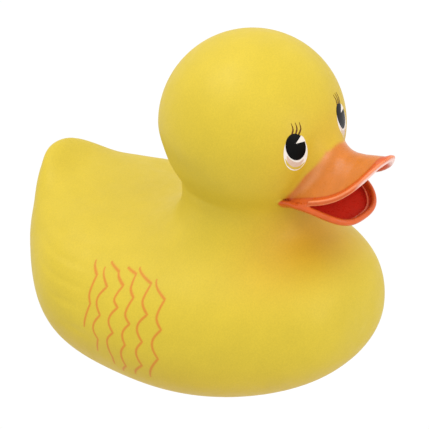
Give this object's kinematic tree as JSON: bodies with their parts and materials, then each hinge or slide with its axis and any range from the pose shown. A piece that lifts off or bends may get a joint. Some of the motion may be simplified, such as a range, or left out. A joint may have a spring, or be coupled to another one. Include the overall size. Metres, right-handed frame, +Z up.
{
  "type": "floating chlorine dispenser",
  "caption": "Floating pool chlorine dispenser shaped as a duck, with a screw-in tablet cup and a flow dial in its flat base.",
  "frame": {"origin": "centre of the overall box, in the plane of the flat base", "axes": "+Z up; the duck looks along -Y; +X is the duck's left side"},
  "size_m": [0.1862, 0.2616, 0.2274],
  "materials": {
    "duck_vinyl": "matt soft vinyl",
    "bill_vinyl": "sprayed satin paint on soft vinyl",
    "housing_plastic": "moulded, fine texture",
    "seal_rubber": "matt",
    "ballast_steel": "zinc plated",
    "screw_steel": "stainless",
    "lock_plastic": "satin",
    "cup_plastic": "moulded, satin",
    "dial_plastic": "moulded, satin",
    "tablet": "pressed powder, matt"
  },
  "bodies": {
    "float": {"duck_body": "duck_vinyl", "bill": "bill_vinyl", "base_housing": "housing_plastic", "flange_gasket": "seal_rubber", "ballast_clamp_left": "ballast_steel", "ballast_clamp_right": "ballast_steel", "clamp_screws": "screw_steel"},
    "tablet_stack": {"chlorine_tablet_lower": "tablet", "chlorine_tablet_upper": "tablet"},
    "cup": {"tablet_cup": "cup_plastic", "cup_gasket": "seal_rubber", "dial_rivet": "lock_plastic", "dial_washer": "dial_plastic"},
    "dial": {"flow_dial": "dial_plastic"},
    "lock": {"lock_slider": "lock_plastic"}
  },
  "joints": [
    {"name": "cup_drop", "type": "slide", "parent": "float", "child": "tablet_stack", "axis": [0, 0, -1], "range_m": [0, 0.0961]},
    {"name": "cup_turn", "type": "hinge", "parent": "tablet_stack", "child": "cup", "pos_m": [0, 0.012, 0], "axis": [0, 0, -1], "range_deg": [0, 1080]},
    {"name": "dial_turn", "type": "hinge", "parent": "cup", "child": "dial", "pos_m": [0, 0.012, 0], "axis": [0, 0, -1], "range_deg": [0, 22.5]},
    {"name": "lock_slide", "type": "slide", "parent": "float", "child": "lock", "axis": [0, -1, 0], "range_m": [0, 0.003]}
  ],
  "couplings": [
    {"joint": "cup_drop", "follows": "cup_turn", "m_per_rad": 0.005093}
  ]
}
